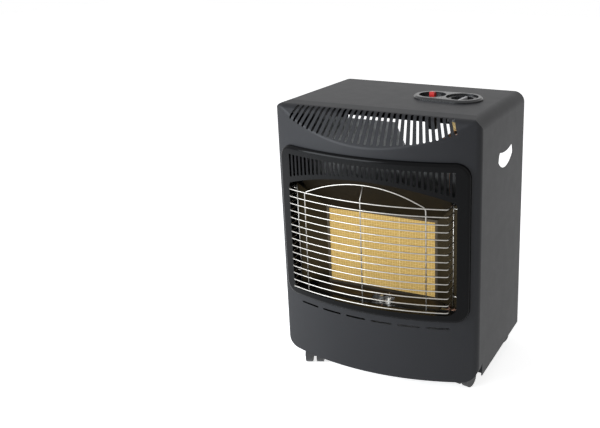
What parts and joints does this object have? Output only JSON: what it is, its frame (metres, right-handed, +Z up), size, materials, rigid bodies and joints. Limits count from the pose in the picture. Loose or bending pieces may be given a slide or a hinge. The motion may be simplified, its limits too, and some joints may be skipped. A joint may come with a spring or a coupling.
{
  "type": "portable gas cabinet heater",
  "caption": "Portable radiant gas heater: sheet-steel cabinet on swivel castors, ceramic burner plaques behind an arched window with a wire guard, control knob and igniter button on top.",
  "frame": {"origin": "on the floor, under the middle of the heater", "axes": "+Z up, the window faces -Y, +X to the right seen from the front"},
  "size_m": [0.43, 0.3432, 0.5815],
  "materials": {
    "cabinet_paint": "satin",
    "enamel": "gloss",
    "guard_wire": "polished",
    "ceramic": "matte",
    "electrode_ceramic": "gloss",
    "plated_steel": "brushed",
    "reflector": "satin",
    "galvanised": "satin",
    "brass": "satin",
    "copper_pipe": "satin",
    "black_plastic": "gloss",
    "castor_plastic": "matte",
    "red_plastic": "gloss",
    "silver_trim": "satin"
  },
  "bodies": {
    "cabinet": {"front_panel": "cabinet_paint", "cabinet_wrapper": "cabinet_paint", "rear_apron": "cabinet_paint", "window_surround": "enamel", "wire_guard": "guard_wire", "ceramic_plaque_left": "ceramic", "ceramic_plaque_middle": "ceramic", "ceramic_plaque_right": "ceramic", "burner_box": "galvanised", "burner_frame": "plated_steel", "reflector_hood": "reflector", "side_reflector_left": "reflector", "side_reflector_right": "reflector", "lower_reflector": "plated_steel", "heat_shield": "galvanised", "base_tray": "cabinet_paint", "apron_screws": "plated_steel", "mixer_tube": "galvanised", "gas_injector": "brass", "supply_pipe": "copper_pipe", "pilot_pipe": "copper_pipe", "pilot_bracket": "brass", "pilot_burner": "plated_steel", "thermocouple_probe": "copper_pipe", "electrode_insulator": "electrode_ceramic", "spark_electrode": "plated_steel", "gas_valve": "brass", "valve_bracket": "galvanised", "hose_nozzle": "brass", "control_escutcheon": "black_plastic", "piezo_igniter": "castor_plastic", "castor_plates": "plated_steel"},
    "knob": {"control_knob": "black_plastic", "knob_grip": "silver_trim", "valve_spindle": "plated_steel"},
    "igniter_button": {"piezo_button": "red_plastic"},
    "back_cover": {"rear_cover": "cabinet_paint"},
    "castor_front_left": {"castor_hood_front_left": "castor_plastic"},
    "wheels_front_left": {"castor_wheels_front_left": "castor_plastic"},
    "castor_front_right": {"castor_hood_front_right": "castor_plastic"},
    "wheels_front_right": {"castor_wheels_front_right": "castor_plastic"},
    "castor_rear_left": {"castor_hood_rear_left": "castor_plastic"},
    "wheels_rear_left": {"castor_wheels_rear_left": "castor_plastic"},
    "castor_rear_right": {"castor_hood_rear_right": "castor_plastic"},
    "wheels_rear_right": {"castor_wheels_rear_right": "castor_plastic"}
  },
  "joints": [
    {"name": "knob_turn", "type": "hinge", "parent": "cabinet", "child": "knob", "pos_m": [0.122, 0.0476, 0.565], "axis": [0, 0, 1], "range_deg": [0, 210]},
    {"name": "button_press", "type": "slide", "parent": "cabinet", "child": "igniter_button", "axis": [0, 0, -1], "range_m": [0, 0.006], "stiffness_N_per_m": 900, "springref_m": -0.002},
    {"name": "cover_lift", "type": "slide", "parent": "cabinet", "child": "back_cover", "axis": [0, 0, 1], "range_m": [0, 0.18]},
    {"name": "swivel_front_left", "type": "hinge", "parent": "cabinet", "child": "castor_front_left", "pos_m": [-0.166, -0.0734, 0.035], "axis": [0, 0, 1], "continuous": true},
    {"name": "roll_front_left", "type": "hinge", "parent": "castor_front_left", "child": "wheels_front_left", "pos_m": [-0.15963, -0.08916, 0.018], "axis": [-0.9272, -0.3746, 0], "continuous": true},
    {"name": "swivel_front_right", "type": "hinge", "parent": "cabinet", "child": "castor_front_right", "pos_m": [0.166, -0.0734, 0.035], "axis": [0, 0, 1], "continuous": true},
    {"name": "roll_front_right", "type": "hinge", "parent": "castor_front_right", "child": "wheels_front_right", "pos_m": [0.16953, -0.05677, 0.018], "axis": [0.9781, -0.2079, 0], "continuous": true},
    {"name": "swivel_rear_left", "type": "hinge", "parent": "cabinet", "child": "castor_rear_left", "pos_m": [-0.166, 0.1306, 0.035], "axis": [0, 0, 1], "continuous": true},
    {"name": "roll_rear_left", "type": "hinge", "parent": "castor_rear_left", "child": "wheels_rear_left", "pos_m": [-0.16895, 0.14734, 0.018], "axis": [0.9848, 0.1736, 0], "continuous": true},
    {"name": "swivel_rear_right", "type": "hinge", "parent": "cabinet", "child": "castor_rear_right", "pos_m": [0.166, 0.1306, 0.035], "axis": [0, 0, 1], "continuous": true},
    {"name": "roll_rear_right", "type": "hinge", "parent": "castor_rear_right", "child": "wheels_rear_right", "pos_m": [0.17693, 0.14362, 0.018], "axis": [0.766, -0.6428, 0], "continuous": true}
  ]
}
